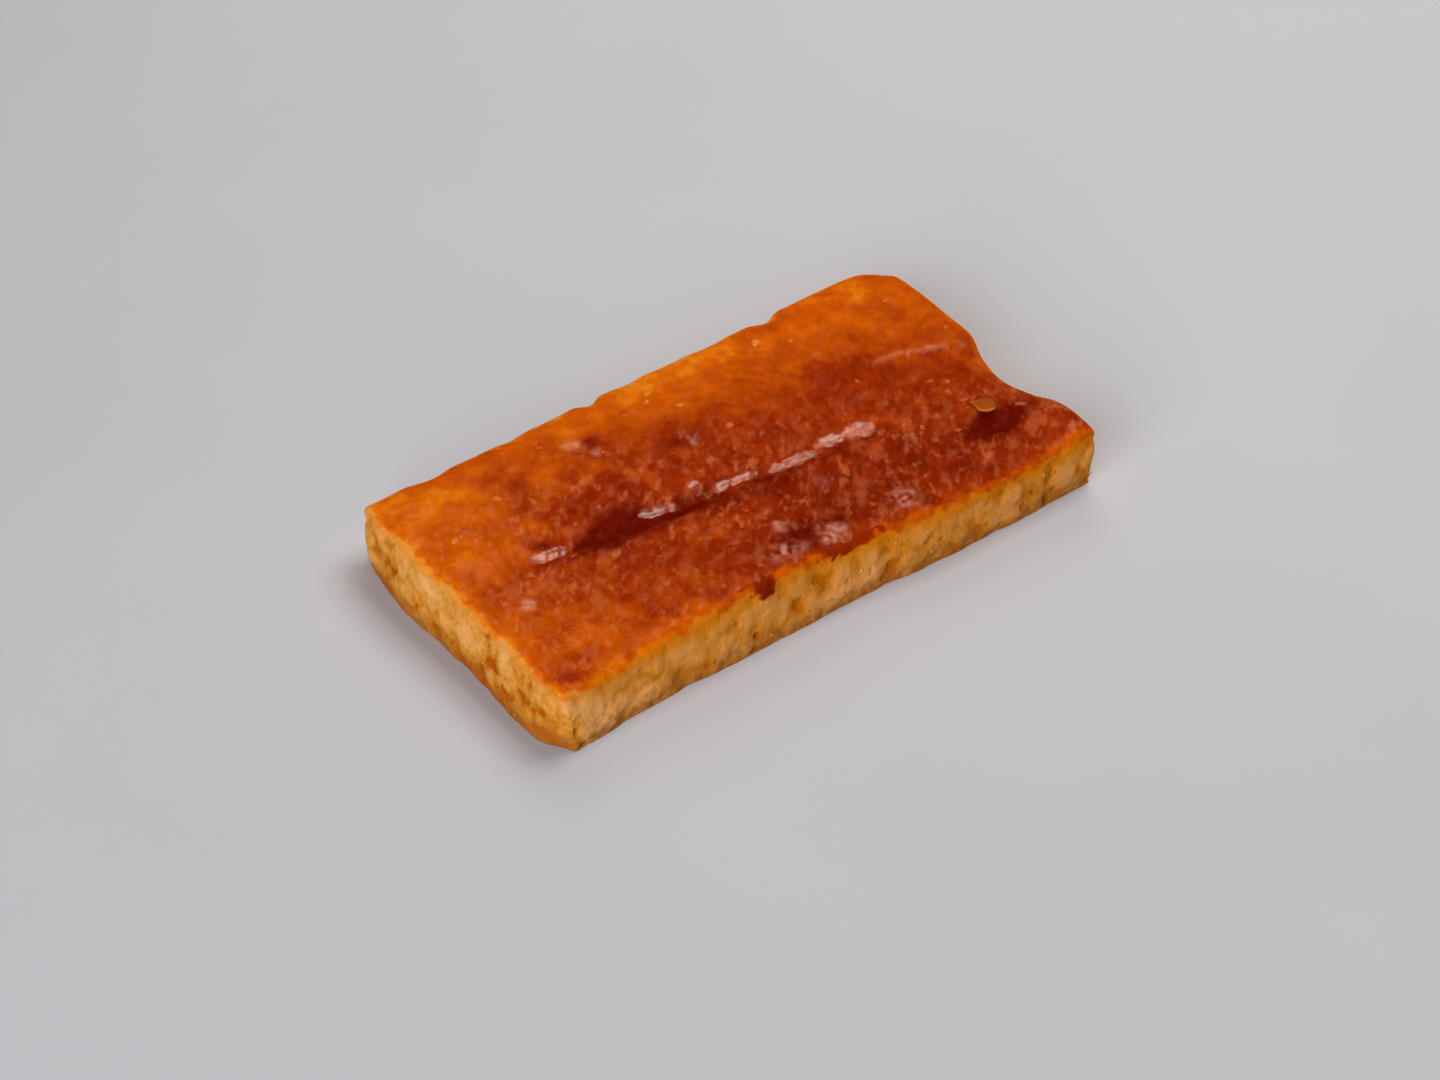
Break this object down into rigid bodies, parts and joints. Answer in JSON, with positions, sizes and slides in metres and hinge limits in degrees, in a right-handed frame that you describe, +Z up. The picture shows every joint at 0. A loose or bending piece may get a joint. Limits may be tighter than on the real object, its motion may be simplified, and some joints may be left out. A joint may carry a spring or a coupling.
{
  "type": "basbousa slice",
  "caption": "Long cut slice of syrup-soaked semolina cake with an uneven amber baked top, a scored groove along it and bare crumb sides.",
  "frame": {"origin": "middle of the slice's box, on the flat base that it stands on", "axes": "+X along the slice towards the end with the bay, +Z up, and -Y towards the long side with the straight cut"},
  "size_m": [0.1484, 0.0782, 0.0175],
  "materials": {
    "crumb": "moist, coarse semolina crumb, matte",
    "baked_top": "baked skin, amber to red-brown, glossy with syrup"
  },
  "bodies": {
    "root": {"basbousa_slice": "crumb"}
  },
  "joints": []
}
